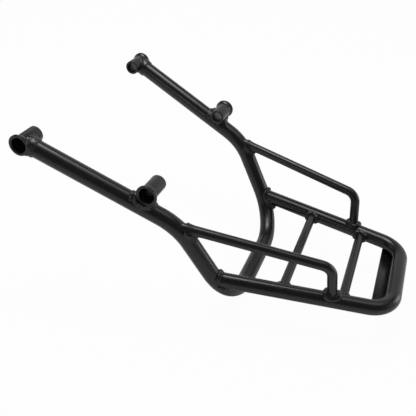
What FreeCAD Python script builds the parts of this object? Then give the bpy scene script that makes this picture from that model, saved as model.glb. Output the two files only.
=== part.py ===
import FreeCAD
import Part
import math
import os
import Sketcher
from FreeCAD import Placement, Rotation, Vector

# Motorcycle rear rack: a welded frame of bent steel tube. Millimetres.
# +X points rearward, +Y to the rider's right, +Z up. The origin is on the mid plane,
# half way along the rack and level with its lowest tube wall.
# Reaches are measured rearward from the axis of the front bolts, falls downward from it.

SIZES = [
    ("main_od", 22.0, "outside diameter of the main tube"),
    ("main_wall", 2.0, "wall of the main tube"),
    ("tray_od", 19.0, "outside diameter of the tray loop"),
    ("tray_wall", 2.0, "wall of the tray loop"),
    ("rail_od", 12.0, "outside diameter of the side rails"),
    ("rail_wall", 1.5, "wall of the side rails"),
    ("bar_od", 11.0, "outside diameter of the cross bars"),
    ("bar_wall", 1.5, "wall of the cross bars"),
    ("arm_half_front", 147.5, "half the arm spacing at the front bolts"),
    ("arm_reach", 187.5, "front bolts to the corner of the arm bend"),
    ("arm_half_bend", 121.0, "half the arm spacing at the arm bend"),
    ("arm_fall", 75.0, "front bolts down to the arm bend"),
    ("arm_bend_radius", 82.0, "centreline radius of the arm bend"),
    ("arm_root", 3.0, "stand-off of the arm's cut end from the bolt axis"),
    ("leg_reach", 74.0, "arm bend rearward to the lower cross run"),
    ("leg_fall", 114.0, "arm bend down to the lower cross run"),
    ("cross_half", 101.0, "half the width between the lower corners"),
    ("cross_bend_radius", 69.0, "centreline radius of the lower corners"),
    ("tray_drop", 73.0, "arm bend down to the tray"),
    ("tray_length", 188.5, "lower cross run rearward to the tray's rear run"),
    ("tray_half_rear", 68.0, "half the tray width at the rear corners"),
    ("tray_bend_radius", 34.5, "centreline radius of the tray's rear corners"),
    ("rail_root", 4.0, "how far a rail's line runs past the arm bend's corner"),
    ("rail_length", 182.5, "arm bend rearward to the rail's bend"),
    ("rail_drop", 19.5, "arm bend down to the rail's bend"),
    ("rail_half_rear", 88.5, "half the rail spacing at the rail's bend"),
    ("rail_foot_step", 9.5, "rail's bend rearward to the rail's foot"),
    ("rail_bend_radius", 17.0, "centreline radius of the rail's bend"),
    ("bar_front_step", 56.5, "lower cross run rearward to the front cross bar"),
    ("bar_rear_step", 129.5, "lower cross run rearward to the rear cross bar"),
    ("plate_depth", 24.0, "plate's front edge to the centreline of the tray's rear run"),
    ("plate_thick", 3.0, "thickness of the rear plate"),
    ("sleeve_od", 20.0, "outside diameter of a bolt sleeve"),
    ("sleeve_length", 35.0, "length of a bolt sleeve"),
    ("sleeve_edge", 0.8, "chamfer round the sleeve's inner end"),
    ("head_od", 26.0, "outside diameter of the sleeve's head"),
    ("head_rim", 2.5, "straight rim of the head"),
    ("head_flare", 7.0, "length of the flare behind the rim"),
    ("bolt_bore", 14.0, "diameter of the bolt bore"),
    ("mouth_bore", 20.5, "diameter of the bore's flared mouth at the outer face"),
    ("mouth_depth", 12.0, "depth over which the mouth narrows to the bore"),
    ("front_outboard", 11.3, "arm centre to the outer face of a front sleeve"),
    ("mid_reach", 150.5, "front bolts to the middle bolts"),
    ("mid_outboard", 9.5, "arm centre to the outer face of a middle sleeve"),
    ("mid_gap", 2.0, "gap between a middle sleeve and the arm, filled by weld"),
    ("collar_od", 26.5, "outside diameter of the weld collar behind a front sleeve"),
    ("collar_start", 2.0, "bolt axis to the near side of the weld collar"),
    ("collar_end", 16.5, "bolt axis to the far side of the weld collar"),
    ("face_clear", 52.0, "diameter kept flush round the outer face of a front sleeve"),
    ("saddle_od", 27.0, "outside diameter of the weld saddle under a middle sleeve"),
    ("saddle_inboard", 3.0, "arm centre to the centre of the weld saddle"),
    ("saddle_lap", 4.5, "how far the weld saddle laps up the sleeve"),
    ("heavy_crown", 3.0, "rounding of the weld collars and saddles"),
    ("tray_weld", 4.0, "weld leg where the tray meets the main tube"),
    ("rail_weld", 4.5, "weld leg at the rail ends"),
    ("bar_weld", 3.5, "weld leg at the cross bar ends"),
    ("plate_weld", 3.0, "weld leg at the plate"),
    ("plate_weld_length", 24.0, "length of each weld run at the plate"),
]

doc = FreeCAD.newDocument("rear_rack")
sheet = doc.addObject("Spreadsheet::Sheet", "sizes")
for row, (alias, value, meaning) in enumerate(SIZES, start=1):
    sheet.set("A%d" % row, meaning)
    sheet.set("B%d" % row, str(value))
    sheet.setAlias("B%d" % row, alias)
doc.recompute()

SIDES = {"left": -1, "right": 1}
# Degrees by which a weld under the plate rises beside the tube's underside.
WELD_RISE = 30
PARTS = []


def size(alias):
    """A driving dimension, read from the sheet."""
    return float(sheet.get(alias))


def part(obj, label):
    """Names a finished piece and lists it for export."""
    obj.Label = label
    PARTS.append(obj)
    return obj


# Reference points. "station" turns a reach, a half width and a fall into a point.

CROSS_REACH = size("arm_reach") + size("leg_reach")
CROSS_FALL = size("arm_fall") + size("leg_fall")
TRAY_REACH = CROSS_REACH + size("tray_length")
TRAY_FALL = size("arm_fall") + size("tray_drop")
MID_X = (TRAY_REACH + size("tray_od") / 2 - size("head_od") / 2) / 2
BASE_FALL = CROSS_FALL + size("main_od") / 2


def station(reach, half, fall, side):
    return Vector(reach - MID_X, side * half, BASE_FALL - fall)


def blend(a, b, share):
    return a + (b - a) * share


def arm_front(side):
    return station(0, size("arm_half_front"), 0, side)


def arm_corner(side):
    return station(size("arm_reach"), size("arm_half_bend"), size("arm_fall"), side)


def cross_corner(side):
    return station(CROSS_REACH, size("cross_half"), CROSS_FALL, side)


def tray_root(side):
    """Where the tray's centreline leaves the centreline of the main tube."""
    return blend(arm_corner(side), cross_corner(side), size("tray_drop") / size("leg_fall"))


def tray_corner(side):
    return station(TRAY_REACH, size("tray_half_rear"), TRAY_FALL, side)


def on_tray(reach, side):
    """Point of the tray's side centreline at a given reach."""
    root, corner = tray_root(side), tray_corner(side)
    return blend(root, corner, (reach - MID_X - root.x) / (corner.x - root.x))


def rail_corner(side):
    return station(size("arm_reach") + size("rail_length"), size("rail_half_rear"),
                   size("arm_fall") + size("rail_drop"), side)


def rail_foot(side):
    return on_tray(size("arm_reach") + size("rail_length") + size("rail_foot_step"), side)


def bar_end(bar, side):
    return on_tray(CROSS_REACH + size("bar_%s_step" % bar), side)


def direction(a, b):
    return (b - a).normalize()


# Building blocks: bent centrelines, round bars along them, tubes and welds.

def bent_path(name, points, radii):
    """A wire of straight runs joined by tangent arcs, one radius for each inner point."""
    edges = []
    start = points[0]
    for a, b, c, radius in zip(points, points[1:], points[2:], radii):
        along, away = direction(a, b), direction(b, c)
        turn = along.getAngle(away)
        setback = radius * math.tan(turn / 2)
        inward = (away - along).normalize()
        centre = b + inward * (radius / math.cos(turn / 2))
        entry, leave = b - along * setback, b + away * setback
        edges.append(Part.makeLine(start, entry))
        edges.append(Part.Arc(entry, centre - inward * radius, leave).toShape())
        start = leave
    edges.append(Part.makeLine(start, points[-1]))
    path = doc.addObject("Part::Feature", name)
    path.Shape = Part.Wire(edges)
    return path


def round_bar(name, path, radius_formula):
    """A solid bar of round section along a path."""
    first = path.Shape.Edges[0]
    start = first.valueAt(first.FirstParameter)
    section = doc.addObject("Part::Circle", name + "_section")
    section.setExpression("Radius", radius_formula)
    section.Placement = Placement(start, Rotation(Vector(0, 0, 1), first.tangentAt(first.FirstParameter)))
    bar = doc.addObject("Part::Sweep", name)
    bar.Sections = [section]
    bar.Spine = (path, ["Edge%d" % (i + 1) for i in range(len(path.Shape.Edges))])
    bar.Solid = True
    return bar


def cylinder(name, start, along, radius_formula, length_formula):
    """A straight round bar from a point along a direction."""
    bar = doc.addObject("Part::Cylinder", name)
    bar.setExpression("Radius", radius_formula)
    bar.setExpression("Height", length_formula)
    bar.Placement = Placement(start, Rotation(Vector(0, 0, 1), along))
    return bar


def cut(name, base, tools):
    """Cuts each tool from the base in turn."""
    result = base
    for number, tool in enumerate(tools, start=1):
        step = doc.addObject("Part::Cut", "%s_cut%d" % (name, number))
        step.Base = result
        step.Tool = tool
        result = step
    return result


def common(name, shapes):
    result = doc.addObject("Part::MultiCommon", name)
    result.Shapes = shapes
    return result


def tube(name, path, family):
    """Outside bar of a tube and the hollow tube itself; family is main, tray, rail or bar."""
    outside = round_bar(name + "_outside", path, "sizes.%s_od / 2" % family)
    inside = round_bar(name + "_inside", path, "sizes.%s_od / 2 - sizes.%s_wall" % (family, family))
    return outside, cut(name + "_hollow", outside, [inside])


def weld(label, reaches, keep_off):
    """A weld bead: what lies within its leg of both joined pieces, outside all of them."""
    return part(cut(label, common(label + "_zone", reaches), keep_off), label)


# Bolt sleeves: turned pieces with a flared head outboard and a bore that widens to a mouth in it.

def sleeve_blank(name, place):
    """The sleeve's outside, revolved about its own X axis, with the outer face at X = 0."""
    body = doc.addObject("PartDesign::Body", name)
    head, tube_r = size("head_od") / 2, size("sleeve_od") / 2
    rim, flare, edge = size("head_rim"), size("head_flare"), size("sleeve_edge")
    length = size("sleeve_length")
    plane = [f for f in body.Origin.OriginFeatures if f.Role == "XY_Plane"][0]
    sketch = body.newObject("Sketcher::SketchObject", name + "_outline")
    sketch.AttachmentSupport = [(plane, "")]
    sketch.MapMode = "FlatFace"
    corners = [(0, 0), (0, head), (rim, head), (rim + flare, tube_r),
               (length - edge, tube_r), (length, tube_r - edge), (length, 0)]
    held = [(None, None), (None, "sizes.head_od / 2"), ("sizes.head_rim", "sizes.head_od / 2"),
            ("sizes.head_rim + sizes.head_flare", "sizes.sleeve_od / 2"),
            ("sizes.sleeve_length - sizes.sleeve_edge", "sizes.sleeve_od / 2"),
            ("sizes.sleeve_length", "sizes.sleeve_od / 2 - sizes.sleeve_edge"),
            ("sizes.sleeve_length", None)]
    drop = head - tube_r
    flare_radius = (flare ** 2 + drop ** 2) / (2 * drop)
    for i, start in enumerate(corners):
        end = corners[(i + 1) % len(corners)]
        a, b = Vector(start[0], start[1], 0), Vector(end[0], end[1], 0)
        if i == 2:
            centre = Vector(rim + flare, tube_r + flare_radius, 0)
            chord = (a + b) / 2 - centre
            bulge = centre + chord * (flare_radius / chord.Length)
            sketch.addGeometry(Part.Arc(a, bulge, b), False)
        else:
            sketch.addGeometry(Part.LineSegment(a, b), False)
    hold_corners(sketch, corners, held, arcs=(2,))
    flare_name = sketch.addConstraint(Sketcher.Constraint("Radius", 2, flare_radius))
    sketch.setExpression(
        "Constraints[%d]" % flare_name,
        "(sizes.head_flare ^ 2 + ((sizes.head_od - sizes.sleeve_od) / 2) ^ 2)"
        " / (sizes.head_od - sizes.sleeve_od)")
    turned = body.newObject("PartDesign::Revolution", name + "_turned")
    turned.Profile = sketch
    turned.ReferenceAxis = (sketch, ["H_Axis"])
    turned.Angle = 360
    body.Placement = place
    return body


def hold_corners(sketch, corners, held, arcs):
    """Joins a sketch's edges end to end and ties each corner to its formulas."""
    count = len(corners)
    # An arc may run the other way round, so its start and end are looked up.
    def ends(i):
        if i not in arcs:
            return 1, 2
        first = sketch.getPoint(i, 1)
        near = Vector(corners[i][0], corners[i][1], 0)
        return (1, 2) if first.distanceToPoint(near) < 1e-6 else (2, 1)
    for i in range(count):
        sketch.addConstraint(Sketcher.Constraint("Coincident", i, ends(i)[1], (i + 1) % count,
                                                 ends((i + 1) % count)[0]))
    for i, (across, up) in enumerate(held):
        vertex = ends(i)[0]
        x, y = corners[i]
        for kind, value, formula in (("DistanceX", x, across), ("DistanceY", y, up)):
            if formula is None and abs(value) < 1e-9:
                sketch.addConstraint(Sketcher.Constraint(
                    "PointOnObject", i, vertex, -2 if kind == "DistanceX" else -1))
            else:
                number = sketch.addConstraint(Sketcher.Constraint(kind, -1, 1, i, vertex, value))
                if formula:
                    sketch.setExpression("Constraints[%d]" % number, formula)


def sleeve(label, outer_face, side):
    """A sleeve whose head faces outboard. Returns its blank and the finished piece."""
    inboard = Vector(0, -side, 0)
    place = Placement(outer_face, Rotation(inboard, Vector(1, 0, 0), Vector(0, 0, side), "XYZ"))
    blank = sleeve_blank(label + "_blank", place)
    bore = cylinder(label + "_bore", outer_face, inboard, "sizes.bolt_bore / 2", "sizes.sleeve_length")
    mouth = doc.addObject("Part::Cone", label + "_mouth")
    mouth.setExpression("Radius1", "sizes.mouth_bore / 2")
    mouth.setExpression("Radius2", "sizes.bolt_bore / 2")
    mouth.setExpression("Height", "sizes.mouth_depth")
    mouth.Placement = Placement(outer_face, Rotation(Vector(0, 0, 1), inboard))
    finished = cut(label, blank, [bore, mouth])
    return blank, part(finished, label)


def front_sleeve_face(side):
    return arm_front(side) + Vector(0, side * size("front_outboard"), 0)


def mid_stand_off():
    """Distance between the axis of a middle sleeve and the axis of the arm."""
    return size("main_od") / 2 + size("mid_gap") + size("sleeve_od") / 2


def mid_sleeve_face(side):
    """Outer face of a middle sleeve, whose body stands off the arm's upper side."""
    front, corner = arm_front(side), arm_corner(side)
    below = blend(front, corner, size("mid_reach") / size("arm_reach"))
    along = direction(front, corner)
    rise = mid_stand_off() * math.hypot(along.x, along.z) / along.x
    return below + Vector(0, side * size("mid_outboard"), rise)


# Main tube: one piece from the left front bolt, under the tray's front and back to the right.

arm_starts = {side: blend(arm_front(side), arm_corner(side),
                          size("arm_root") / arm_front(side).distanceToPoint(arm_corner(side)))
              for side in SIDES.values()}
main_path = bent_path(
    "main_path",
    [arm_starts[-1], arm_corner(-1), cross_corner(-1), cross_corner(1), arm_corner(1), arm_starts[1]],
    [size("arm_bend_radius"), size("cross_bend_radius"), size("cross_bend_radius"), size("arm_bend_radius")])
main_outside, main_hollow = tube("main_tube", main_path, "main")

blanks = {}
for name, side in SIDES.items():
    blanks["front", side], _ = sleeve("sleeve_front_" + name, front_sleeve_face(side), side)
    blanks["mid", side], _ = sleeve("sleeve_mid_" + name, mid_sleeve_face(side), side)

part(cut("main_tube", main_hollow, [blanks["front", -1], blanks["front", 1]]), "main_tube")

# Tray loop: one tube bent to a U, its front ends cut to fit round the main tube.

tray_path = bent_path(
    "tray_path", [tray_root(-1), tray_corner(-1), tray_corner(1), tray_root(1)],
    [size("tray_bend_radius")] * 2)
tray_outside, tray_hollow = tube("tray_loop", tray_path, "tray")
part(cut("tray_loop", tray_hollow, [main_outside]), "tray_loop")

# Side rails: each leaves the arm bend, runs rearward and drops to the tray tube.

rail_outsides, rail_lines = {}, {}
for name, side in SIDES.items():
    run = direction(arm_corner(side), rail_corner(side))
    start = arm_corner(side) - run * size("rail_root")
    foot = rail_foot(side)
    label = "side_rail_" + name
    rail_path = bent_path(label + "_path", [start, rail_corner(side), foot], [size("rail_bend_radius")])
    rail_outsides[side], rail_hollow = tube(label, rail_path, "rail")
    part(cut(label, rail_hollow, [main_outside, tray_outside]), label)
    rail_lines[side] = (start, run, foot, direction(foot, rail_corner(side)))

# Cross bars: straight tubes between the tray's sides, cut to fit round them.

bar_outsides = {}
for name in ("front", "rear"):
    label = "cross_bar_" + name
    bar_path = bent_path(label + "_path", [bar_end(name, -1), bar_end(name, 1)], [])
    bar_outsides[name], bar_hollow = tube(label, bar_path, "bar")
    part(cut(label, bar_hollow, [tray_outside]), label)

# Rear plate: its edges follow the tray's centreline, under the tube.

side_run = direction(tray_root(1), tray_corner(1))
corner_setback = size("tray_bend_radius") * math.tan(side_run.getAngle(Vector(0, -1, 0)) / 2)
bend_half = size("tray_half_rear") - corner_setback
plate_top = BASE_FALL - TRAY_FALL - size("tray_od") / 2
bend_x = TRAY_REACH - MID_X - size("tray_bend_radius")


def plate_corners(front_x):
    """Corners of the plate, from the front edge round by way of the left side."""
    radius = size("tray_bend_radius")
    front_half = bend_half + math.sqrt(radius ** 2 - (front_x - bend_x) ** 2)
    return [(front_x, front_half), (front_x, -front_half),
            (bend_x + radius, -bend_half), (bend_x + radius, bend_half)]


def corner_arc(start, end, side):
    """Arc of the plate's edge, on the centreline of the tray's rear corner."""
    centre = Vector(bend_x, side * bend_half, 0)
    a, b = Vector(start[0], start[1], 0), Vector(end[0], end[1], 0)
    towards = ((a + b) / 2 - centre).normalize()
    return Part.Arc(a, centre + towards * size("tray_bend_radius"), b)


plate = doc.addObject("PartDesign::Body", "rear_plate")
plate_plane = [f for f in plate.Origin.OriginFeatures if f.Role == "XY_Plane"][0]
plate_sketch = plate.newObject("Sketcher::SketchObject", "rear_plate_outline")
plate_sketch.AttachmentSupport = [(plate_plane, "")]
plate_sketch.MapMode = "FlatFace"
corners = plate_corners(TRAY_REACH - size("plate_depth") - MID_X)
for i, (start, end) in enumerate(zip(corners, corners[1:] + corners[:1])):
    if i in (1, 3):
        plate_sketch.addGeometry(corner_arc(start, end, -1 if i == 1 else 1), False)
    else:
        plate_sketch.addGeometry(
            Part.LineSegment(Vector(start[0], start[1], 0), Vector(end[0], end[1], 0)), False)
rear_formula = ("(sizes.arm_reach + sizes.leg_reach + sizes.tray_length"
                " - sizes.tray_od / 2 + sizes.head_od / 2) / 2")
hold_corners(plate_sketch, corners,
             [(rear_formula + " - sizes.plate_depth", None)] * 2 + [(rear_formula, None)] * 2,
             arcs=(1, 3))
for arc in (1, 3):
    number = plate_sketch.addConstraint(Sketcher.Constraint("Radius", arc, size("tray_bend_radius")))
    plate_sketch.setExpression("Constraints[%d]" % number, "sizes.tray_bend_radius")
plate_pad = plate.newObject("PartDesign::Pad", "rear_plate_pad")
plate_pad.Profile = plate_sketch
plate_pad.setExpression("Length", "sizes.plate_thick")
plate_pad.Reversed = True
plate.Placement = Placement(Vector(0, 0, plate_top), Rotation())
part(plate, "rear_plate")

# Welds at the bolt sleeves: a collar round each arm's front end, and a saddle of weld
# that fills the gap between each middle sleeve and the arm below it.


def rounded_end(name, start, along, radius_formula, length_formula, ends):
    """A round bar with the rims of its far end, or of both ends, rounded."""
    plain = cylinder(name + "_plain", start, along, radius_formula, length_formula)
    doc.recompute()
    crown = size("heavy_crown")
    length = float(plain.Height)
    rims = []
    for number, edge in enumerate(plain.Shape.Edges, start=1):
        if edge.Curve.TypeId == "Part::GeomCircle":
            height = (edge.Curve.Center - start).dot(along)
            if height > length / 2 or ends == "both":
                rims.append((number, crown, crown))
    bar = doc.addObject("Part::Fillet", name)
    bar.Base = plain
    bar.Edges = rims
    return bar


for name, side in SIDES.items():
    arm_run = direction(arm_front(side), arm_corner(side))
    outboard = Vector(0, side, 0)

    label = "weld_sleeve_front_" + name
    collar = rounded_end(label + "_bar", arm_front(side) + arm_run * size("collar_start"), arm_run,
                         "sizes.collar_od / 2", "sizes.collar_end - sizes.collar_start", "both")
    washer_way = cylinder(label + "_washer_way", front_sleeve_face(side), outboard,
                          "sizes.face_clear / 2", "sizes.collar_od")
    part(cut(label, collar, [main_outside, blanks["front", side], washer_way]), label)

    label = "weld_sleeve_mid_" + name
    up = arm_run.cross(Vector(0, 1, 0)).normalize()
    face = mid_sleeve_face(side)
    foot = face - outboard * (size("mid_outboard") + size("saddle_inboard")) - up * mid_stand_off()
    pad = rounded_end(label + "_bar", foot, up, "sizes.saddle_od / 2",
                      "sizes.main_od / 2 + sizes.mid_gap + sizes.saddle_lap", "far")
    bolt_way = cylinder(label + "_bolt_way", face, outboard, "sizes.head_od / 2", "sizes.saddle_od")
    part(cut(label, pad, [main_outside, blanks["mid", side], bolt_way]), label)

# Welds at the tray's front ends and at both ends of the rails.

main_for_tray = round_bar("main_for_tray", main_path, "sizes.main_od / 2 + sizes.tray_weld")
main_for_rail = round_bar("main_for_rail", main_path, "sizes.main_od / 2 + sizes.rail_weld")
tray_for_rail = round_bar("tray_for_rail", tray_path, "sizes.tray_od / 2 + sizes.rail_weld")
tray_for_bar = round_bar("tray_for_bar", tray_path, "sizes.tray_od / 2 + sizes.bar_weld")
foot_welds = {}
for name, side in SIDES.items():
    start, run, foot, foot_run = rail_lines[side]
    tray_run = direction(tray_root(side), tray_corner(side))
    around_tray = cylinder("weld_tray_%s_around" % name, tray_root(side), tray_run,
                           "sizes.tray_od / 2 + sizes.tray_weld", "sizes.main_od * 2")
    weld("weld_tray_" + name, [around_tray, main_for_tray], [main_outside, tray_outside])
    around_rail = cylinder("weld_rail_front_%s_around" % name, start, run,
                           "sizes.rail_od / 2 + sizes.rail_weld", "sizes.main_od * 2")
    weld("weld_rail_front_" + name, [around_rail, main_for_rail], [main_outside, rail_outsides[side]])
    around_foot = cylinder("weld_rail_foot_%s_around" % name, foot, foot_run,
                           "sizes.rail_od / 2 + sizes.rail_weld", "sizes.tray_od")
    foot_welds[side] = weld("weld_rail_foot_" + name, [around_foot, tray_for_rail],
                            [tray_outside, rail_outsides[side]])

# Welds at the ends of the cross bars.

for bar in ("front", "rear"):
    for name, side in SIDES.items():
        label = "weld_bar_%s_%s" % (bar, name)
        around_bar = cylinder(label + "_around", bar_end(bar, side), Vector(0, -side, 0),
                              "sizes.bar_od / 2 + sizes.bar_weld", "sizes.tray_od")
        weld(label, [around_bar, tray_for_bar], [tray_outside, bar_outsides[bar], foot_welds[side]])

# Welds under the plate: rounded runs beside its edge, closed by the tube above them.

corner_turn = side_run.getAngle(Vector(0, -1, 0))
run_angle = size("plate_weld_length") / size("tray_bend_radius")
for name, side in SIDES.items():
    label = "weld_plate_" + name
    ring = doc.addObject("Part::Torus", label + "_ring")
    ring.setExpression("Radius1", "sizes.tray_bend_radius")
    ring.setExpression("Radius2", "sizes.plate_weld")
    ring.setExpression("Angle3", "sizes.plate_weld_length / sizes.tray_bend_radius * 180 / pi")
    ring.Angle1 = -WELD_RISE
    ring.Angle2 = 90
    ring.Placement = Placement(
        Vector(bend_x, side * bend_half, plate_top),
        Rotation(Vector(0, 0, 1), math.degrees(side * corner_turn / 2 - run_angle / 2)))
    part(cut(label, ring, [tray_outside]), label)

rear_run = cylinder("weld_plate_rear_run", Vector(), Vector(0, 0, 1),
                    "sizes.plate_weld", "sizes.plate_weld_length")
rear_run.Angle = 90 + WELD_RISE
rear_run.Placement = Placement(
    Vector(bend_x + size("tray_bend_radius"), size("plate_weld_length") / 2, plate_top),
    Rotation(Vector(0, 0, -1), Vector(1, 0, 0), Vector(0, -1, 0), "ZXY"))
part(cut("weld_plate_rear", rear_run, [tray_outside]), "weld_plate_rear")

doc.recompute()

# Checks and export.

for obj in doc.Objects:
    bad = [state for state in obj.State if state in ("Invalid", "Error")]
    if bad:
        raise RuntimeError("%s: %s" % (obj.Label, ", ".join(bad)))
for obj in PARTS:
    shape = obj.Shape
    if shape.isNull() or not shape.isValid():
        raise RuntimeError("%s has no valid shape" % obj.Label)

os.makedirs("parts", exist_ok=True)
for obj in PARTS:
    obj.Shape.exportStep(os.path.join("parts", obj.Label + ".step"))
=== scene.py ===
import math

import bpy
import numpy as np
from mathutils import Matrix, Vector


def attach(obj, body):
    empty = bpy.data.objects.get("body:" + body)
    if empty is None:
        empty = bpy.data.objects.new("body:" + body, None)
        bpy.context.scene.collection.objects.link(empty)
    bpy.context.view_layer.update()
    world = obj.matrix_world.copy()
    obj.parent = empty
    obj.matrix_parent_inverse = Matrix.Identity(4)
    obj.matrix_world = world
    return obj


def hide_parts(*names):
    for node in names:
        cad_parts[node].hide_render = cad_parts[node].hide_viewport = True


# Looks of a motorcycle rear rack, a welded frame of bent tube under black powder coat.
# Metres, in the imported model's frame: +X rearward, +Y to the rider's right, +Z up.

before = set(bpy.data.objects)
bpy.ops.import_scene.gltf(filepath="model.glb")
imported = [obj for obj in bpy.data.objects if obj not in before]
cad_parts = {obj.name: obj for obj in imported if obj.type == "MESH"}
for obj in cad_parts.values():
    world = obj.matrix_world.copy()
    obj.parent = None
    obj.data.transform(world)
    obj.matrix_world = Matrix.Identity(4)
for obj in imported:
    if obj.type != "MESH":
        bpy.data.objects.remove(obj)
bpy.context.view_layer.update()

# Driving dimensions, those of the solids, except that the tray, rails and bars are 0.2 to 0.3 mm
# larger in radius here. Reaches run rearward from the axis of the front bolts, falls run down
# from it, and halves are half widths.

MAIN_R = 0.011
TRAY_R = 0.0098
RAIL_R = 0.0062
BAR_R = 0.0058
ARM_HALF_FRONT = 0.1475
ARM_REACH = 0.1875
ARM_HALF_BEND = 0.121
ARM_FALL = 0.075
ARM_BEND_R = 0.082
ARM_ROOT = 0.003
LEG_REACH = 0.074
LEG_FALL = 0.114
CROSS_HALF = 0.101
CROSS_BEND_R = 0.069
TRAY_DROP = 0.073
TRAY_LENGTH = 0.1882
TRAY_HALF_REAR = 0.068
TRAY_BEND_R = 0.0345
RAIL_ROOT = 0.004
RAIL_LENGTH = 0.1825
RAIL_DROP = 0.0195
RAIL_HALF_REAR = 0.0885
RAIL_FOOT_STEP = 0.0095
RAIL_BEND_R = 0.017
BAR_STEPS = {"front": 0.0565, "rear": 0.1295}
PLATE_DEPTH = 0.024
PLATE_THICK = 0.003
SLEEVE_R = 0.010
SLEEVE_LENGTH = 0.035
HEAD_R = 0.013
HEAD_RIM = 0.0025
HEAD_FLARE = 0.007
BORE_R = 0.007
MOUTH_R = 0.01025
MOUTH_DEPTH = 0.012
FRONT_OUTBOARD = 0.0113
MID_REACH = 0.1505
MID_OUTBOARD = 0.0095
MID_GAP = 0.002

SIDES = {"left": -1, "right": 1}
CROSS_REACH = ARM_REACH + LEG_REACH
TRAY_REACH = CROSS_REACH + TRAY_LENGTH
TRAY_FALL = ARM_FALL + TRAY_DROP
MID_X = (TRAY_REACH + TRAY_R - HEAD_R) / 2
BASE_FALL = ARM_FALL + LEG_FALL + MAIN_R
FLARE_DROP = HEAD_R - SLEEVE_R
FLARE_R = (HEAD_FLARE ** 2 + FLARE_DROP ** 2) / (2 * FLARE_DROP)


def station(reach, half, fall, side):
    return np.array([reach - MID_X, side * half, BASE_FALL - fall])


def arm_front(side):
    return station(0, ARM_HALF_FRONT, 0, side)


def arm_corner(side):
    return station(ARM_REACH, ARM_HALF_BEND, ARM_FALL, side)


def cross_corner(side):
    return station(CROSS_REACH, CROSS_HALF, ARM_FALL + LEG_FALL, side)


def tray_root(side):
    a, b = arm_corner(side), cross_corner(side)
    return a + (b - a) * (TRAY_DROP / LEG_FALL)


def tray_corner(side):
    return station(TRAY_REACH, TRAY_HALF_REAR, TRAY_FALL, side)


def on_tray(reach, side):
    root, corner = tray_root(side), tray_corner(side)
    return root + (corner - root) * ((reach - MID_X - root[0]) / (corner[0] - root[0]))


def rail_corner(side):
    return station(ARM_REACH + RAIL_LENGTH, RAIL_HALF_REAR, ARM_FALL + RAIL_DROP, side)


def rail_foot(side):
    return on_tray(ARM_REACH + RAIL_LENGTH + RAIL_FOOT_STEP, side)


def bar_end(bar, side):
    return on_tray(CROSS_REACH + BAR_STEPS[bar], side)


def unit(v):
    return v / np.linalg.norm(v)


def length(v):
    return np.sqrt((v * v).sum(-1))


# Centrelines: straight runs joined by tangent arcs.

ARC_STEP = math.radians(2.5)
RUN_STEP = 0.006


class Path:
    def __init__(self, points, radii=()):
        self.pieces = []
        start = points[0]
        for a, b, c, radius in zip(points, points[1:], points[2:], radii):
            along, away = unit(b - a), unit(c - b)
            turn = math.acos(np.clip(along @ away, -1, 1))
            setback = radius * math.tan(turn / 2)
            entry = b - along * setback
            inward = unit(away - along * (along @ away))
            self.pieces.append(("run", start, entry))
            self.pieces.append(("arc", entry + inward * radius, -inward, along, radius, turn))
            start = b + away * setback
        self.pieces.append(("run", start, points[-1]))

    def samples(self):
        """Points of the line with its direction at each of them."""
        points, headings = [], []
        for piece in self.pieces:
            if piece[0] == "run":
                _, a, b = piece
                count = max(1, round(length(b - a) / RUN_STEP))
                for k in range(count):
                    points.append(a + (b - a) * k / count)
                    headings.append(unit(b - a))
            else:
                _, centre, out, along, radius, turn = piece
                count = max(2, round(turn / ARC_STEP))
                for k in range(count):
                    angle = turn * k / count
                    points.append(centre + radius * (out * math.cos(angle) + along * math.sin(angle)))
                    headings.append(along * math.cos(angle) - out * math.sin(angle))
        last = self.pieces[-1]
        points.append(last[2])
        headings.append(unit(last[2] - last[1]))
        return np.array(points), np.array(headings)

    def distance(self, p):
        """Distance of each point of p from the line."""
        best = np.full(len(p), np.inf)
        for piece in self.pieces:
            if piece[0] == "run":
                _, a, b = piece
                along = b - a
                share = np.clip((p - a) @ along / (along @ along), 0, 1)
                near = a + share[:, None] * along
            else:
                _, centre, out, along, radius, turn = piece
                v = p - centre
                angle = np.arctan2(v @ along, v @ out)
                angle = np.where(angle < turn / 2 - math.pi, angle + 2 * math.pi, angle)
                angle = np.clip(angle, 0, turn)
                near = centre + radius * (np.cos(angle)[:, None] * out + np.sin(angle)[:, None] * along)
            best = np.minimum(best, length(p - near))
        return best


def arm_start(side):
    a, b = arm_front(side), arm_corner(side)
    return a + unit(b - a) * ARM_ROOT


def rail_run(side):
    return unit(rail_corner(side) - arm_corner(side))


main_path = Path(
    [arm_start(-1), arm_corner(-1), cross_corner(-1), cross_corner(1), arm_corner(1), arm_start(1)],
    [ARM_BEND_R, CROSS_BEND_R, CROSS_BEND_R, ARM_BEND_R])
tray_path = Path([tray_root(-1), tray_corner(-1), tray_corner(1), tray_root(1)], [TRAY_BEND_R] * 2)
rail_paths = {
    side: Path([arm_corner(side) - rail_run(side) * RAIL_ROOT, rail_corner(side), rail_foot(side)],
               [RAIL_BEND_R])
    for side in SIDES.values()}
bar_paths = {bar: Path([bar_end(bar, -1), bar_end(bar, 1)]) for bar in BAR_STEPS}


def front_sleeve_face(side):
    return arm_front(side) + np.array([0, side * FRONT_OUTBOARD, 0])


def mid_stand_off():
    return MAIN_R + MID_GAP + SLEEVE_R


def mid_sleeve_face(side):
    a, b = arm_front(side), arm_corner(side)
    along = unit(b - a)
    rise = mid_stand_off() * math.hypot(along[0], along[2]) / along[0]
    return a + (b - a) * (MID_REACH / ARM_REACH) + np.array([0, side * MID_OUTBOARD, rise])


# Meshes.

SMOOTH_UNDER = math.radians(38)


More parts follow.
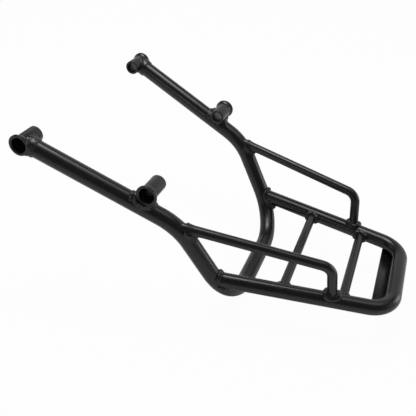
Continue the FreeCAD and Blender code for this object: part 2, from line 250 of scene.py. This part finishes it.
def add_piece(name, verts, faces, slot, *nodes):
    """A finished piece that rides on the frame and stands for the named solids."""
    mesh = bpy.data.meshes.new(name)
    mesh.from_pydata([tuple(v) for v in verts], [], [tuple(int(i) for i in f) for f in faces])
    mesh.validate()
    mesh.update()
    mesh.polygons.foreach_set("use_smooth", [True] * len(mesh.polygons))
    mesh.set_sharp_from_angle(angle=SMOOTH_UNDER)
    mesh.materials.append(MATERIALS[slot])
    piece = bpy.data.objects.new(name, mesh)
    bpy.context.scene.collection.objects.link(piece)
    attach(piece, "root")
    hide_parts(*nodes)
    return piece


TUBE_SEGMENTS = 72


def grid_faces(rings, segments, closed):
    """Quads between successive rings; a closed strip also joins the last ring to the first."""
    faces = []
    for r in range(rings if closed else rings - 1):
        for s in range(segments):
            t = (s + 1) % segments
            a, b = r * segments, (r + 1) % rings * segments
            faces.append((a + s, a + t, b + t, b + s))
    return faces


def tube(path, radius, start_seat, end_seat):
    """A round bar along a path, ended by flat faces that lie hidden in the welds.
    Each end runs on until it meets its seat, a distance function."""
    points, headings = path.samples()
    side = unit(np.cross(headings[0], (0.0, 0.0, 1.0)))
    angles = np.arange(TUBE_SEGMENTS) * 2 * math.pi / TUBE_SEGMENTS
    rings = []
    for point, heading in zip(points, headings):
        side = unit(side - heading * (side @ heading))
        other = np.cross(heading, side)
        rings.append(point + radius * (np.cos(angles)[:, None] * side + np.sin(angles)[:, None] * other))
    rings = seat_end(rings[::-1], points[0], -headings[0], start_seat)[::-1]
    rings = seat_end(rings, points[-1], headings[-1], end_seat)
    verts = np.concatenate(rings)
    faces = grid_faces(len(rings), TUBE_SEGMENTS, False)
    last = (len(rings) - 1) * TUBE_SEGMENTS
    faces.append(tuple(range(TUBE_SEGMENTS))[::-1])
    faces.append(tuple(range(last, last + TUBE_SEGMENTS)))
    return verts, faces


SEAT_DEPTH = 0.0005
SEAT_CLEAR = 0.0005
SEAT_STEPS = 60


def seat_end(rings, end, heading, distance):
    """Drops the rings that reach into the seat and carries the last one along to it, at most
    to the path's end."""
    keep = [k for k in range(len(rings)) if distance(rings[k]).min() > SEAT_CLEAR]
    rings = rings[:keep[-1] + 1]
    last = rings[-1].copy()
    for _ in range(SEAT_STEPS):
        step = np.maximum(distance(last) + SEAT_DEPTH, 0)
        room = -(last - end) @ heading
        last = last + np.minimum(step, np.maximum(room, 0))[:, None] * heading
    return rings + [last]


def lathe(profile, origin, axis, segments=96):
    """A closed profile of (distance along the axis, radius) turned about it."""
    side = unit(np.cross(axis, (0.0, 0.0, 1.0)))
    other = np.cross(axis, side)
    angles = np.arange(segments) * 2 * math.pi / segments
    circle = np.cos(angles)[:, None] * side + np.sin(angles)[:, None] * other
    rings = [origin + along * axis + radius * circle for along, radius in profile]
    return np.concatenate(rings), grid_faces(len(rings), segments, True)


def arc_points(centre, radius, start, end, count):
    """Points of an arc in the profile's plane, from one angle to another, in degrees."""
    return [(centre[0] + radius * math.cos(math.radians(start + (end - start) * k / count)),
             centre[1] + radius * math.sin(math.radians(start + (end - start) * k / count)))
            for k in range(count + 1)]


RIM_ROUND = 0.0006
END_ROUND = 0.0008
BORE_ROUND = 0.0004
# The mouth's inner end is eased over this share of its depth, and a land lies behind its lip.
MOUTH_EASE = 0.1
LIP_DEPTH = 0.0008
LIP_DROP = 0.00072
LAND_DEPTH = 0.0012
LAND_DROP = 0.0008


def sleeve_profile():
    sweep = math.degrees(math.asin(HEAD_FLARE / FLARE_R))
    out = arc_points((RIM_ROUND, HEAD_R - RIM_ROUND), RIM_ROUND, 180, 90, 5)
    out += arc_points((HEAD_RIM + HEAD_FLARE, SLEEVE_R + FLARE_R), FLARE_R, 270 - sweep, 270, 14)
    out += arc_points((SLEEVE_LENGTH - END_ROUND, SLEEVE_R - END_ROUND), END_ROUND, 90, 0, 5)
    out += arc_points((SLEEVE_LENGTH - BORE_ROUND, BORE_R + BORE_ROUND), BORE_ROUND, 0, -90, 4)
    out += [(MOUTH_DEPTH * (1 + MOUTH_EASE), BORE_R),
            (MOUTH_DEPTH * (1 - MOUTH_EASE), BORE_R + (MOUTH_R - BORE_R) * MOUTH_EASE)]
    out += [(LAND_DEPTH, MOUTH_R - LAND_DROP), (LIP_DEPTH, MOUTH_R - LIP_DROP)]
    out += arc_points((RIM_ROUND, MOUTH_R + RIM_ROUND), RIM_ROUND, -135, -180, 4)
    return out


# Weld beads: the surface of a distance field, meshed cell by cell.

WELD_STEP = 0.0004
BLOCK = 5
CLOSE_BLOCKS = 1.25
POLISH_ROUNDS = 2
POLISH_NUDGE = 0.1
LEAST_STEEPNESS = 0.2
CORNERS = np.array([(i, j, k) for i in (0, 1) for j in (0, 1) for k in (0, 1)])
RING_OF_CELLS = ((-1, -1), (0, -1), (0, 0), (-1, 0))


def surface_net(field, low, high, step=WELD_STEP):
    """Closed surface where the field passes zero inside a box. Blocks of cells far from the
    surface take one value."""
    blocks = [int(math.ceil((high[i] - low[i]) / (step * BLOCK))) for i in range(3)]
    shape = tuple(n * BLOCK for n in blocks)
    middles = np.argwhere(np.ones(blocks, dtype=bool))
    reach = step * BLOCK
    far = field(low + (middles + 0.5) * reach)
    values = np.repeat(np.repeat(np.repeat(far.reshape(blocks), BLOCK, 0), BLOCK, 1), BLOCK, 2)
    close = middles[np.abs(far) < reach * CLOSE_BLOCKS]
    within = np.argwhere(np.ones((BLOCK, BLOCK, BLOCK), dtype=bool))
    points = (close[:, None, :] * BLOCK + within[None]).reshape(-1, 3)
    values[points[:, 0], points[:, 1], points[:, 2]] = field(low + points * step)
    inside = values < 0
    cells = tuple(n - 1 for n in shape)

    def corner(data, offset):
        return data[tuple(slice(o, o + n) for o, n in zip(offset, cells))]

    def edge_ends(axis, offset):
        cut = [slice(1, n - 1) for n in shape]
        cut[axis] = slice(offset, shape[axis] - 1 + offset)
        return inside[tuple(cut)]

    count = sum(corner(inside, c).astype(int) for c in CORNERS)
    active = (count > 0) & (count < 8)
    number = np.full(cells, -1)
    number[active] = np.arange(active.sum())
    base = np.argwhere(active)
    total = np.zeros((len(base), 3))
    hits = np.zeros(len(base))
    for c in CORNERS:
        for axis in range(3):
            if c[axis]:
                continue
            d = c.copy()
            d[axis] = 1
            va, vb = corner(values, c)[active], corner(values, d)[active]
            crossing = (va < 0) != (vb < 0)
            share = np.where(crossing, va / np.where(crossing, va - vb, 1), 0)
            total[crossing] += (c + share[:, None] * (d - c))[crossing]
            hits[crossing] += 1
    verts = np.array(low) + (base + total / hits[:, None]) * step
    faces = []
    for axis in range(3):
        u, v = (axis + 1) % 3, (axis + 2) % 3
        first, second = edge_ends(axis, 0), edge_ends(axis, 1)
        for flip, mask in ((False, first & ~second), (True, ~first & second)):
            at = np.argwhere(mask)
            at[:, u] += 1
            at[:, v] += 1
            quad = []
            for du, dv in RING_OF_CELLS:
                c = at.copy()
                c[:, u] += du
                c[:, v] += dv
                quad.append(number[c[:, 0], c[:, 1], c[:, 2]])
            quad = np.stack(quad, 1)
            faces.append(quad[:, ::-1] if flip else quad)
    nudge = step * POLISH_NUDGE
    for _ in range(POLISH_ROUNDS):
        here = field(verts)
        slope = np.stack([field(verts + nudge * e) - here for e in np.eye(3)], 1) / nudge
        steep = (slope ** 2).sum(1)
        move = np.clip(here / np.maximum(steep, LEAST_STEEPNESS), -step / 2, step / 2)
        verts = verts - move[:, None] * slope
    return verts, np.concatenate(faces)


def smooth_min(a, b, k):
    h = np.clip(0.5 + 0.5 * (b - a) / k, 0, 1)
    return b + (a - b) * h - k * h * (1 - h)


def smooth_max(a, b, k):
    return -smooth_min(-a, -b, k)


def waves(angle, random, low, high):
    """A smooth random function of an angle, about -1 to 1."""
    total = 0
    for k in range(low, high + 1):
        total = total + random.normal() * np.cos(k * angle + random.uniform(0, 2 * math.pi))
    return total / math.sqrt(high - low + 1)


ROUGH_WAVES = 7
ROUGH_PITCHES = (0.7, 1.6)
ROUGH_PEAK = 2.6


def rough(p, pitch, seed):
    """Smooth random lumps in space, about -1 to 1, from waves that cross each other."""
    random = np.random.default_rng(seed)
    total = 0
    for _ in range(ROUGH_WAVES):
        way = unit(random.normal(size=3)) * 2 * math.pi / (pitch * random.uniform(*ROUGH_PITCHES))
        total = total + np.sin(p @ way + random.uniform(0, 2 * math.pi))
    return total / ROUGH_PEAK


# How far a weld reaches into what it joins.
WELD_SEAT = 0.0006
RIPPLE_PITCH = 0.0030
RIPPLE_SHARE = 0.045
RIPPLE_MEAN = 1.27
RIPPLE_DRIFT = 0.6
RIPPLE_BOW = 2.8
LUMP_SHARE = 0.12
ANGLE_FROM = (0.31, 0.17, 0.94)


def bead_width(p, origin, axis, ring_radius, tilt, leg, seed):
    """Leg of a bead laid round an axis, with ripples bowed along the line of the weld."""
    random = np.random.default_rng(seed)
    side = unit(np.cross(axis, ANGLE_FROM))
    other = np.cross(axis, side)
    v = p - origin
    angle = np.arctan2(v @ other, v @ side)
    count = round(2 * math.pi * ring_radius / RIPPLE_PITCH)
    drift = RIPPLE_DRIFT * waves(angle, random, 1, 4)
    phase = count * angle + 2 * math.pi * RIPPLE_BOW * tilt ** 2 + drift
    ripple = np.abs(np.cos(phase / 2)) * 2 - RIPPLE_MEAN
    return leg * (1 + RIPPLE_SHARE * ripple + LUMP_SHARE * waves(angle, random, 2, 6))


NUDGE = 1e-6
MOST_LEAN = 0.97
LEAST_OPENING = 0.3
WEB_BLEND = 0.001
BEAD_END_BLEND = 0.0015


def seam_field(to_a, to_b, origin, axis, ring_radius, leg, seed, start, web):
    """Bead along the seam where tube b, which runs from the origin along the axis, meets a.
    It begins at a distance from the origin, and a web fills the narrow corner between the two."""
    def field(p):
        a, b = to_a(p), to_b(p)
        lean = sum((to_a(p + NUDGE * e) - a) * (to_b(p + NUDGE * e) - b) for e in np.eye(3)) / NUDGE ** 2
        lean = np.clip(lean, -MOST_LEAN, MOST_LEAN)
        off_seam = np.sqrt(np.maximum(a * a + b * b - 2 * a * b * lean, 0) / (1 - lean * lean))
        tilt = np.arctan2(np.maximum(b, 0), np.maximum(a, 0) + 1e-9) / (math.pi / 2) - 0.5
        opening = LEAST_OPENING + np.sqrt((1 - lean) / 2)
        crown = off_seam - opening * bead_width(p, origin, axis, ring_radius, tilt, leg, seed)
        if web:
            crown = smooth_min(crown, smooth_min(a, b, web), WEB_BLEND)
        crown = smooth_max(crown, start - (p - origin) @ axis, BEAD_END_BLEND)
        return np.maximum(crown, np.maximum(-WELD_SEAT - a, -WELD_SEAT - b))
    return field


def off_path(path, radius):
    return lambda p: path.distance(p) - radius


def off_cylinder(origin, axis, radius):
    def distance(p):
        v = p - origin
        return length(v - (v @ axis)[:, None] * axis) - radius
    return distance


def off_sleeve(face, side):
    """Distance from a sleeve's outside, flare included."""
    def distance(p):
        depth = (face[1] - p[:, 1]) * side
        back = np.clip(HEAD_RIM + HEAD_FLARE - depth, 0, HEAD_FLARE)
        outside = SLEEVE_R + FLARE_R - np.sqrt(FLARE_R ** 2 - back ** 2)
        return np.hypot(p[:, 0] - face[0], p[:, 2] - face[2]) - outside
    return distance


def add_weld(node_name, field, centre, reach):
    """Meshes a field in the box that reaches this far each way from its centre."""
    verts, faces = surface_net(field, centre - reach, centre + reach)
    add_piece(node_name + "_bead", verts, faces, "weld", node_name)


def seam_bead(node_name, base, origin, axis, radius, leg, reach, seed, start=0.0, web=0.0):
    """Bead round the end of a straight tube of this radius, where it meets the base."""
    branch = off_cylinder(origin, axis, radius)
    add_weld(node_name, seam_field(base, branch, origin, axis, radius, leg, seed, start, web), origin, reach)


# Heavy welds at the sleeves.

LUMPS = 0.00012
CREST_PITCH = 0.006
PAD_PITCH = 0.005
RAG_PITCH = 0.007

# The collar's stretch along the arm, its heights over the tube, and its forms beside the sleeve:
# each one's distance from the sleeve, half width and height or depth.
COLLAR_START = 0.005
COLLAR_END = 0.0168
COLLAR_RAG = 0.0003
COLLAR_PAD = 0.0014
CREST_AT, CREST_WIDTH, CREST_HEIGHT = 0.0004, 0.0012, 0.0022
GROOVE_AT, GROOVE_WIDTH, GROOVE_DEPTH = 0.0024, 0.0007, 0.0011
COLLAR_SEAM = 0.0030
COLLAR_SEAM_BLEND = 0.0005
COLLAR_START_BLEND = 0.0012
COLLAR_END_BLEND = 0.0022
FACE_CLEAR = 0.0003
FACE_BLEND = 0.0012


def hump(distance, middle, width):
    return np.exp(-((distance - middle) / width) ** 2)


def collar_field(side, seed):
    """Weld round an arm's front end: a crest beside the sleeve, a groove and a flatter pad."""
    start = arm_front(side)
    run = unit(arm_corner(side) - start)
    off_front = off_sleeve(front_sleeve_face(side), side)
    outer = (ARM_HALF_FRONT + FRONT_OUTBOARD) - FACE_CLEAR

    def field(p):
        a, b = on_main(p), off_front(p)
        along = (p - start) @ run
        crest = (CREST_HEIGHT + LUMPS * rough(p, CREST_PITCH, seed)) * hump(b, CREST_AT, CREST_WIDTH)
        pad = COLLAR_PAD + LUMPS * rough(p, PAD_PITCH, seed + 1)
        height = np.maximum(crest, pad) - GROOVE_DEPTH * hump(b, GROOVE_AT, GROOVE_WIDTH)
        end = along - COLLAR_END - COLLAR_RAG * rough(p, RAG_PITCH, seed + 2)
        top = smooth_max(a - height, end, COLLAR_END_BLEND)
        top = smooth_max(top, COLLAR_START - along, COLLAR_START_BLEND)
        seam = np.hypot(np.maximum(a, 0), np.maximum(b, 0)) - COLLAR_SEAM
        seam = smooth_max(seam, COLLAR_START - along, COLLAR_START_BLEND)
        top = smooth_min(top, seam, COLLAR_SEAM_BLEND)
        top = smooth_max(top, p[:, 1] * side - outer, FACE_BLEND)
        return np.maximum(top, np.maximum(-WELD_SEAT - a, -WELD_SEAT - b))
    return field


SADDLE_HALF_LENGTH = 0.0172
SADDLE_HALF_WIDTH = 0.0150
SADDLE_INBOARD = 0.003
SADDLE_FORWARD = 0.0015
SADDLE_LAYER = 0.0016
SADDLE_FILLET = 0.0062
SADDLE_POWER = 2.6
SADDLE_RAG = 0.0004
SADDLE_BLEND = 0.0018
SADDLE_EDGE_BLEND = 0.0025
SADDLE_LUMP_BLEND = 0.0008
HEAD_CLEAR = 0.0001
PAST_FACE = 0.001
# Lumps where the weld was started and stopped: distance ahead of the sleeve, degrees outboard of
# the arm's upper side, and radius.
SADDLE_LUMPS = [(0.0150, 22, 0.0030), (0.0145, 46, 0.0028), (-0.0120, 30, 0.0028), (-0.0130, 5, 0.0026)]


def saddle_field(side, seed):
    """Weld that fills the gap between a middle sleeve and the arm, lapping up the sleeve, and
    the place on the arm's upper side that it lies round."""
    face = mid_sleeve_face(side)
    run = unit(arm_corner(side) - arm_front(side))
    up = unit(np.cross(run, (0.0, 1.0, 0.0)))
    up = up * np.sign(up[2])
    outboard = np.cross(up, run)
    outboard = outboard * np.sign(outboard[1]) * side
    foot = face - np.array([0, side * MID_OUTBOARD, 0]) - up * mid_stand_off()
    off_mid = off_sleeve(face, side)

    def field(p):
        a, b = on_main(p), off_mid(p)
        v = p - foot
        ahead = (-(v @ run) - SADDLE_FORWARD) / SADDLE_HALF_LENGTH
        aside = (v @ outboard + SADDLE_INBOARD) / SADDLE_HALF_WIDTH
        power = SADDLE_POWER
        edge = ((np.abs(ahead) ** power + np.abs(aside) ** power) ** (1 / power) - 1) * SADDLE_HALF_WIDTH
        edge = edge - SADDLE_RAG * rough(p, CREST_PITCH, seed)
        layer = a - SADDLE_LAYER - LUMPS * rough(p, PAD_PITCH, seed + 1)
        fillet = np.hypot(np.maximum(a, 0), np.maximum(b, 0)) - SADDLE_FILLET
        body = smooth_min(layer, fillet, SADDLE_BLEND)
        body = smooth_max(body, edge, SADDLE_EDGE_BLEND)
        for ahead_at, angle, size in SADDLE_LUMPS:
            turn = math.radians(angle)
            spot = foot - run * (ahead_at + SADDLE_FORWARD) + MAIN_R * (
                up * math.cos(turn) + outboard * math.sin(turn))
            body = smooth_min(body, length(p - spot) - size, SADDLE_LUMP_BLEND)
        body = np.maximum(body, -(v @ up))
        clear = HEAD_R + HEAD_CLEAR - np.hypot(p[:, 0] - face[0], p[:, 2] - face[2])
        past_face = np.minimum((p[:, 1] - face[1]) * side, PAST_FACE)
        body = np.maximum(body, np.minimum(clear, past_face))
        return np.maximum(body, np.maximum(-WELD_SEAT - a, -WELD_SEAT - b))
    return field, foot + up * MAIN_R


# Powder coat: satin black with fine orange peel.

BLACK = (0.0040, 0.0040, 0.0043, 1)
WORN_BLACK = (0.0060, 0.0060, 0.00645, 1)
NOISE_LOW = 0.3
NOISE_HIGH = 0.7
COAT_ROUGHNESS = 0.27
ROUGHNESS_SWING = 0.05
PEEL_SCALE = 620
PEEL_HEIGHT = 0.000008
WAVE_SCALE = 90
WAVE_HEIGHT = 0.00002


def node(tree, kind, **settings):
    """A new node with its sockets or properties set by name."""
    made = tree.nodes.new(kind)
    for key, value in settings.items():
        if key in made.inputs:
            made.inputs[key].default_value = value
        else:
            setattr(made, key, value)
    return made


def powder_coat(slot, roughness, peel_height, wave_height):
    """Black powder coat. Its peel and slow waves are bump, and its gloss varies a little."""
    material = bpy.data.materials.new(slot)
    material.use_nodes = True
    tree = material.node_tree
    tree.nodes.clear()
    out = tree.nodes.new("ShaderNodeOutputMaterial")
    shader = node(tree, "ShaderNodeBsdfPrincipled", Roughness=roughness, IOR=1.5)
    tree.links.new(shader.outputs["BSDF"], out.inputs["Surface"])
    place = tree.nodes.new("ShaderNodeTexCoord").outputs["Object"]

    peel = node(tree, "ShaderNodeTexNoise", Scale=PEEL_SCALE, Detail=2.0, Roughness=0.45)
    wave = node(tree, "ShaderNodeTexNoise", Scale=WAVE_SCALE, Detail=1.0, Roughness=0.4)
    patch = node(tree, "ShaderNodeTexNoise", Scale=WAVE_SCALE / 2, Detail=3.0, Roughness=0.55)
    for texture in (peel, wave, patch):
        tree.links.new(place, texture.inputs["Vector"])

    slow = node(tree, "ShaderNodeBump", Strength=1.0, Distance=wave_height)
    tree.links.new(wave.outputs["Fac"], slow.inputs["Height"])
    fine = node(tree, "ShaderNodeBump", Strength=1.0, Distance=peel_height)
    tree.links.new(peel.outputs["Fac"], fine.inputs["Height"])
    tree.links.new(slow.outputs["Normal"], fine.inputs["Normal"])
    tree.links.new(fine.outputs["Normal"], shader.inputs["Normal"])

    gloss = node(tree, "ShaderNodeMapRange")
    gloss.inputs["From Min"].default_value = NOISE_LOW
    gloss.inputs["From Max"].default_value = NOISE_HIGH
    gloss.inputs["To Min"].default_value = roughness - ROUGHNESS_SWING
    gloss.inputs["To Max"].default_value = roughness + ROUGHNESS_SWING
    tree.links.new(patch.outputs["Fac"], gloss.inputs["Value"])
    tree.links.new(gloss.outputs["Result"], shader.inputs["Roughness"])

    # Sockets 6 and 7 are the colours A and B, and output 2 is the colour.
    tint = node(tree, "ShaderNodeMix", data_type="RGBA")
    tint.inputs[6].default_value = BLACK
    tint.inputs[7].default_value = WORN_BLACK
    tree.links.new(patch.outputs["Fac"], tint.inputs["Factor"])
    tree.links.new(tint.outputs[2], shader.inputs["Base Color"])
    return material


MATERIALS = {
    "frame_tube": powder_coat("frame_tube", COAT_ROUGHNESS, PEEL_HEIGHT, WAVE_HEIGHT),
    "sleeve": powder_coat("sleeve", COAT_ROUGHNESS, PEEL_HEIGHT, WAVE_HEIGHT / 2),
    "plate": powder_coat("plate", COAT_ROUGHNESS, PEEL_HEIGHT, WAVE_HEIGHT / 4),
    "weld": powder_coat("weld", COAT_ROUGHNESS + 0.05, PEEL_HEIGHT, WAVE_HEIGHT),
}

# Tubes.

on_main = off_path(main_path, MAIN_R)
on_tray_tube = off_path(tray_path, TRAY_R)


def arm_seat(side):
    return off_cylinder(front_sleeve_face(side), np.array([0.0, 1.0, 0.0]), SLEEVE_R)


add_piece("main_tube_bent", *tube(main_path, MAIN_R, arm_seat(-1), arm_seat(1)), "frame_tube", "main_tube")
add_piece("tray_loop_bent", *tube(tray_path, TRAY_R, on_main, on_main), "frame_tube", "tray_loop")
for name, side in SIDES.items():
    add_piece("side_rail_%s_bent" % name, *tube(rail_paths[side], RAIL_R, on_main, on_tray_tube),
              "frame_tube", "side_rail_" + name)
for bar, path in bar_paths.items():
    add_piece("cross_bar_%s_tube" % bar, *tube(path, BAR_R, on_tray_tube, on_tray_tube),
              "frame_tube", "cross_bar_" + bar)

# Bolt sleeves.

for name, side in SIDES.items():
    inboard = np.array([0.0, -side, 0.0])
    for place, face in (("front", front_sleeve_face(side)), ("mid", mid_sleeve_face(side))):
        add_piece("sleeve_%s_%s_turned" % (place, name), *lathe(sleeve_profile(), face, inboard),
                  "sleeve", "sleeve_%s_%s" % (place, name))

# Rear plate, with its edges eased.

PLATE_EASE = 0.0004
PLATE_CORNER = PLATE_EASE * 0.3
PLATE_ARC_STEPS = 24


def plate_edge(inset):
    """Outline of the plate, drawn in by an inset."""
    run = unit(tray_corner(1) - tray_root(1))
    turn = math.acos(-run[1])
    centre_x = TRAY_REACH - MID_X - TRAY_BEND_R
    centre_y = TRAY_HALF_REAR - TRAY_BEND_R * math.tan(turn / 2)
    radius = TRAY_BEND_R - inset
    front_x = TRAY_REACH - MID_X - PLATE_DEPTH + inset
    top = math.acos((front_x - centre_x) / radius)
    right = [(centre_x + radius * math.cos(top * k / PLATE_ARC_STEPS),
              centre_y + radius * math.sin(top * k / PLATE_ARC_STEPS)) for k in range(PLATE_ARC_STEPS + 1)]
    left = [(x, -y) for x, y in right[::-1]]
    return left + right


def plate():
    """Rings of the plate's outline from its top down, and its faces."""
    top = BASE_FALL - TRAY_FALL - TRAY_R
    levels = [(0.0, PLATE_EASE), (PLATE_CORNER, PLATE_CORNER), (PLATE_EASE, 0.0),
              (PLATE_THICK - PLATE_EASE, 0.0), (PLATE_THICK - PLATE_CORNER, PLATE_CORNER),
              (PLATE_THICK, PLATE_EASE)]
    rings = [[(x, y, top - depth) for x, y in plate_edge(inset)] for depth, inset in levels]
    around = len(rings[0])
    faces = [face[::-1] for face in grid_faces(len(rings), around, False)]
    faces.append(tuple(range(around)))
    faces.append(tuple(range(around * (len(levels) - 1), around * len(levels)))[::-1])
    return [v for ring in rings for v in ring], faces


add_piece("rear_plate_flat", *plate(), "plate", "rear_plate")

# Welds.

TRAY_BEAD = 0.0052
RAIL_BEAD = 0.0046
RAIL_BEAD_START = 0.0085
RAIL_WEB = 0.010
FOOT_BEADS = {"left": 0.0062, "right": 0.0052}
BAR_BEADS = {"left": 0.0036, "right": 0.0056}
# How far each weld may reach from its middle, and the seeds of their ripples and lumps.
COLLAR_REACH, COLLAR_SEED = 0.0195, 3
SADDLE_REACH, SADDLE_SEED = 0.0215, 7
TRAY_BEAD_REACH, TRAY_SEED = 0.025, 11
RAIL_BEAD_REACH, RAIL_SEED = 0.034, 21
FOOT_BEAD_REACH, FOOT_SEED = 0.020, 31
BAR_BEAD_REACH, BAR_SEED = 0.018, 41
COLLAR_MIDDLE = (0.004, 0, 0)


def weld_sleeves(name, side):
    add_weld("weld_sleeve_front_" + name, collar_field(side, COLLAR_SEED),
             arm_front(side) + COLLAR_MIDDLE, COLLAR_REACH)
    add_weld("weld_sleeve_mid_" + name, *saddle_field(side, SADDLE_SEED), SADDLE_REACH)


def weld_tray(name, side):
    root = tray_root(side)
    seam_bead("weld_tray_" + name, on_main, root, unit(tray_corner(side) - root),
              TRAY_R, TRAY_BEAD, TRAY_BEAD_REACH, TRAY_SEED)


def weld_rail(name, side):
    seam_bead("weld_rail_front_" + name, on_main, arm_corner(side), rail_run(side),
              RAIL_R, RAIL_BEAD, RAIL_BEAD_REACH, RAIL_SEED, RAIL_BEAD_START, RAIL_WEB)
    foot = rail_foot(side)
    seam_bead("weld_rail_foot_" + name, on_tray_tube, foot, unit(rail_corner(side) - foot),
              RAIL_R, FOOT_BEADS[name], FOOT_BEAD_REACH, FOOT_SEED)


def weld_bars(name, side):
    inward = np.array([0.0, -side, 0.0])
    for number, bar in enumerate(BAR_STEPS):
        seam_bead("weld_bar_%s_%s" % (bar, name), on_tray_tube, bar_end(bar, side), inward,
                  BAR_R, BAR_BEADS[name], BAR_BEAD_REACH, BAR_SEED + number)


for name, side in SIDES.items():
    weld_sleeves(name, side)
    weld_tray(name, side)
    weld_rail(name, side)
    weld_bars(name, side)

# The plate's welds, under the tray, keep the solids' meshes.
for weld in ("weld_plate_left", "weld_plate_right", "weld_plate_rear"):
    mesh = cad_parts[weld].data
    mesh.materials.clear()
    mesh.materials.append(MATERIALS["weld"])

# Camera, floor and light.

CAMERA_AT = (0.16033, -0.63498, 0.53203)
CAMERA_AZIMUTH = math.radians(17.526)
CAMERA_ELEVATION = math.radians(34.421)
CAMERA_ROLL = math.radians(5.895)
LENS = 50.0
SENSOR = 36.0


def place_camera():
    """The photograph's viewpoint, aimed by azimuth, elevation and roll."""
    look = Vector((-math.sin(CAMERA_AZIMUTH) * math.cos(CAMERA_ELEVATION),
                   math.cos(CAMERA_AZIMUTH) * math.cos(CAMERA_ELEVATION), -math.sin(CAMERA_ELEVATION)))
    level = look.cross(Vector((0, 0, 1))).normalized()
    upright = level.cross(look)
    right = level * math.cos(CAMERA_ROLL) + upright * math.sin(CAMERA_ROLL)
    up = right.cross(look)
    data = bpy.data.cameras.new("camera")
    data.lens = LENS
    data.sensor_width = SENSOR
    data.dof.use_dof = False
    camera = bpy.data.objects.new("camera", data)
    bpy.context.scene.collection.objects.link(camera)
    turned = Matrix((right, up, -look)).transposed().to_4x4()
    camera.matrix_world = Matrix.Translation(Vector(CAMERA_AT)) @ turned
    bpy.context.scene.camera = camera


def soft_box(name, at, target, size, power):
    """An area lamp that lights and shows in gloss, and that the camera doesn't see."""
    data = bpy.data.lights.new(name, "AREA")
    data.shape = "RECTANGLE"
    data.size, data.size_y = size
    data.energy = power
    box = bpy.data.objects.new(name, data)
    bpy.context.scene.collection.objects.link(box)
    aim = Vector(target) - Vector(at)
    box.matrix_world = Matrix.Translation(Vector(at)) @ aim.to_track_quat("-Z", "Y").to_matrix().to_4x4()
    box.visible_camera = False


# Light panels: name, place, aim, size and power.
CENTRE = (0.0, 0.0, 0.1)
PANELS = [
    ("key", (-0.28, 0.22, 1.75), CENTRE, (0.6, 0.6), 6.5),
    ("key_wide", (-0.50, 0.06, 1.85), CENTRE, (1.1, 1.3), 9),
    ("top_right", (0.60, 0.28, 1.90), CENTRE, (1.2, 1.2), 5),
    ("side_right", (1.75, 1.05, 0.55), CENTRE, (0.8, 1.1), 6),
    ("strip_left", (-0.82, -1.94, 0.74), CENTRE, (0.45, 0.45), 1.7),
    ("wall_back", (0.0, 3.2, 1.25), CENTRE, (6.0, 3.0), 32),
    ("wall_left", (-3.2, 0.3, 1.0), CENTRE, (3.0, 2.0), 8),
    ("wall_right", (3.2, 0.8, 1.0), CENTRE, (3.0, 2.0), 7),
]

FLOOR_HALF = 4.0
FLOOR_GAP = 0.0005
FLOOR_SHADE = (0.66, 0.66, 0.66, 1)
WHITE_SHARE = 0.96


def lay_floor():
    """Pale floor that the camera sees as nearly white, with the object's shadow on it."""
    corners = [(-FLOOR_HALF, -FLOOR_HALF), (FLOOR_HALF, -FLOOR_HALF), (FLOOR_HALF, FLOOR_HALF),
               (-FLOOR_HALF, FLOOR_HALF)]
    mesh = bpy.data.meshes.new("floor")
    mesh.from_pydata([(x, y, -FLOOR_GAP) for x, y in corners], [], [(0, 1, 2, 3)])
    material = bpy.data.materials.new("floor")
    material.use_nodes = True
    tree = material.node_tree
    tree.nodes.clear()
    out = tree.nodes.new("ShaderNodeOutputMaterial")
    mix = tree.nodes.new("ShaderNodeMixShader")
    matt = node(tree, "ShaderNodeBsdfDiffuse", Color=FLOOR_SHADE)
    glow = node(tree, "ShaderNodeEmission", Color=(1, 1, 1, 1), Strength=1.0)
    share = node(tree, "ShaderNodeMath", operation="MULTIPLY")
    share.inputs[1].default_value = WHITE_SHARE
    path = tree.nodes.new("ShaderNodeLightPath")
    tree.links.new(path.outputs["Is Camera Ray"], share.inputs[0])
    tree.links.new(share.outputs[0], mix.inputs["Fac"])
    tree.links.new(matt.outputs["BSDF"], mix.inputs[1])
    tree.links.new(glow.outputs["Emission"], mix.inputs[2])
    tree.links.new(mix.outputs["Shader"], out.inputs["Surface"])
    mesh.materials.append(material)
    floor = bpy.data.objects.new("floor", mesh)
    bpy.context.scene.collection.objects.link(floor)


WORLD_LEVEL = 0.45
WORLD_IN_GLOSS = 0.12


def light_world():
    """Even light all round, white to the camera and darker in gloss."""
    world = bpy.data.worlds.new("studio")
    world.use_nodes = True
    tree = world.node_tree
    tree.nodes.clear()
    out = tree.nodes.new("ShaderNodeOutputWorld")
    back = node(tree, "ShaderNodeBackground", Color=(1, 1, 1, 1))
    path = tree.nodes.new("ShaderNodeLightPath")
    gloss = tree.nodes.new("ShaderNodeMapRange")
    gloss.inputs["To Min"].default_value = WORLD_LEVEL
    gloss.inputs["To Max"].default_value = WORLD_IN_GLOSS
    tree.links.new(path.outputs["Is Glossy Ray"], gloss.inputs["Value"])
    level = tree.nodes.new("ShaderNodeMapRange")
    level.inputs["To Max"].default_value = 1.0
    tree.links.new(path.outputs["Is Camera Ray"], level.inputs["Value"])
    tree.links.new(gloss.outputs["Result"], level.inputs["To Min"])
    tree.links.new(level.outputs["Result"], back.inputs["Strength"])
    tree.links.new(back.outputs["Background"], out.inputs["Surface"])
    bpy.context.scene.world = world


place_camera()
lay_floor()
light_world()
for panel in PANELS:
    soft_box(*panel)

bpy.context.scene.view_settings.view_transform = "Standard"
